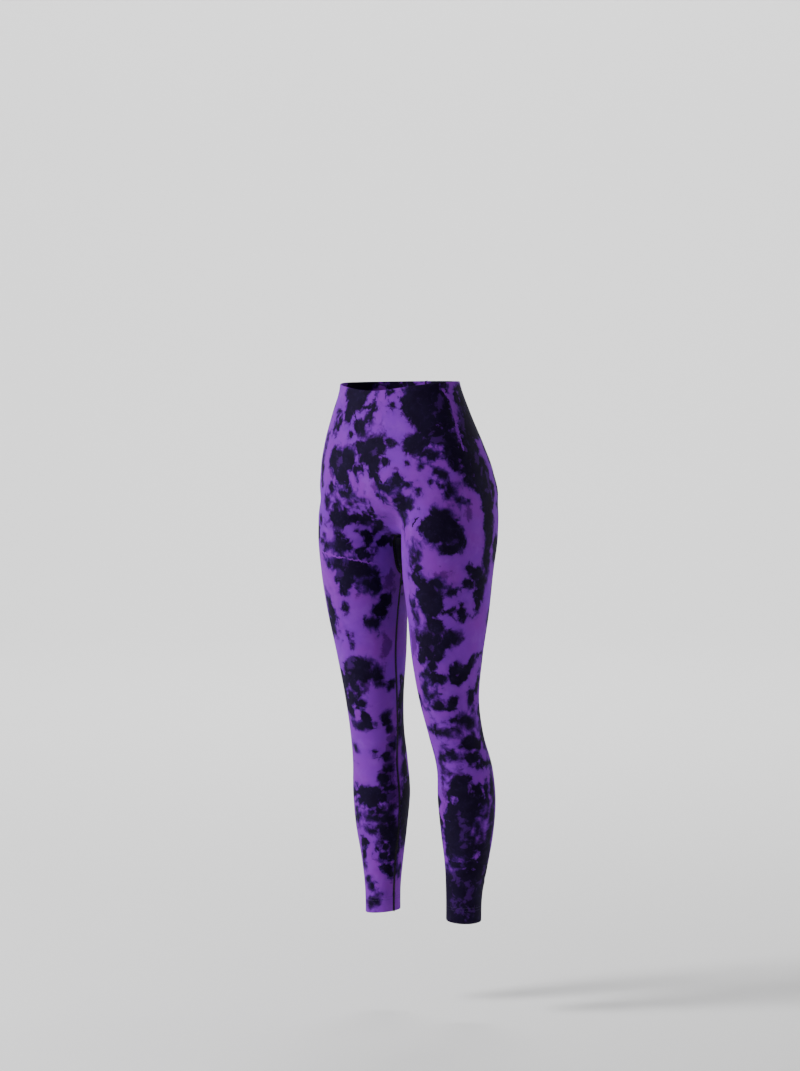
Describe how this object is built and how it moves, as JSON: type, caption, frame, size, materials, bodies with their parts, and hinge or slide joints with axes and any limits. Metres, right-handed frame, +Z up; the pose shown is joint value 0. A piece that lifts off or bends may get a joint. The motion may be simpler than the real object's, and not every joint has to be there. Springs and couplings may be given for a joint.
{
  "type": "leggings",
  "caption": "High-waisted full-length stretch leggings in purple and near-black tie-dye, hollow and filled out as worn, open at the waist and both ankles.",
  "frame": {"origin": "centre of the waist opening", "axes": "+X towards the wearer's left, -Y towards the front, +Z up"},
  "size_m": [0.337, 0.2399, 0.971],
  "materials": {
    "dyed_knit": "matt stretch knit with a soft sheen, purple with near-black dye marks",
    "dyed_knit_reverse": "the same knit seen from its reverse, matt"
  },
  "bodies": {
    "root": {"body_panel": "dyed_knit", "crotch_gusset": "dyed_knit", "waist_turning": "dyed_knit_reverse", "left_hem_turning": "dyed_knit_reverse", "right_hem_turning": "dyed_knit_reverse"}
  },
  "joints": []
}
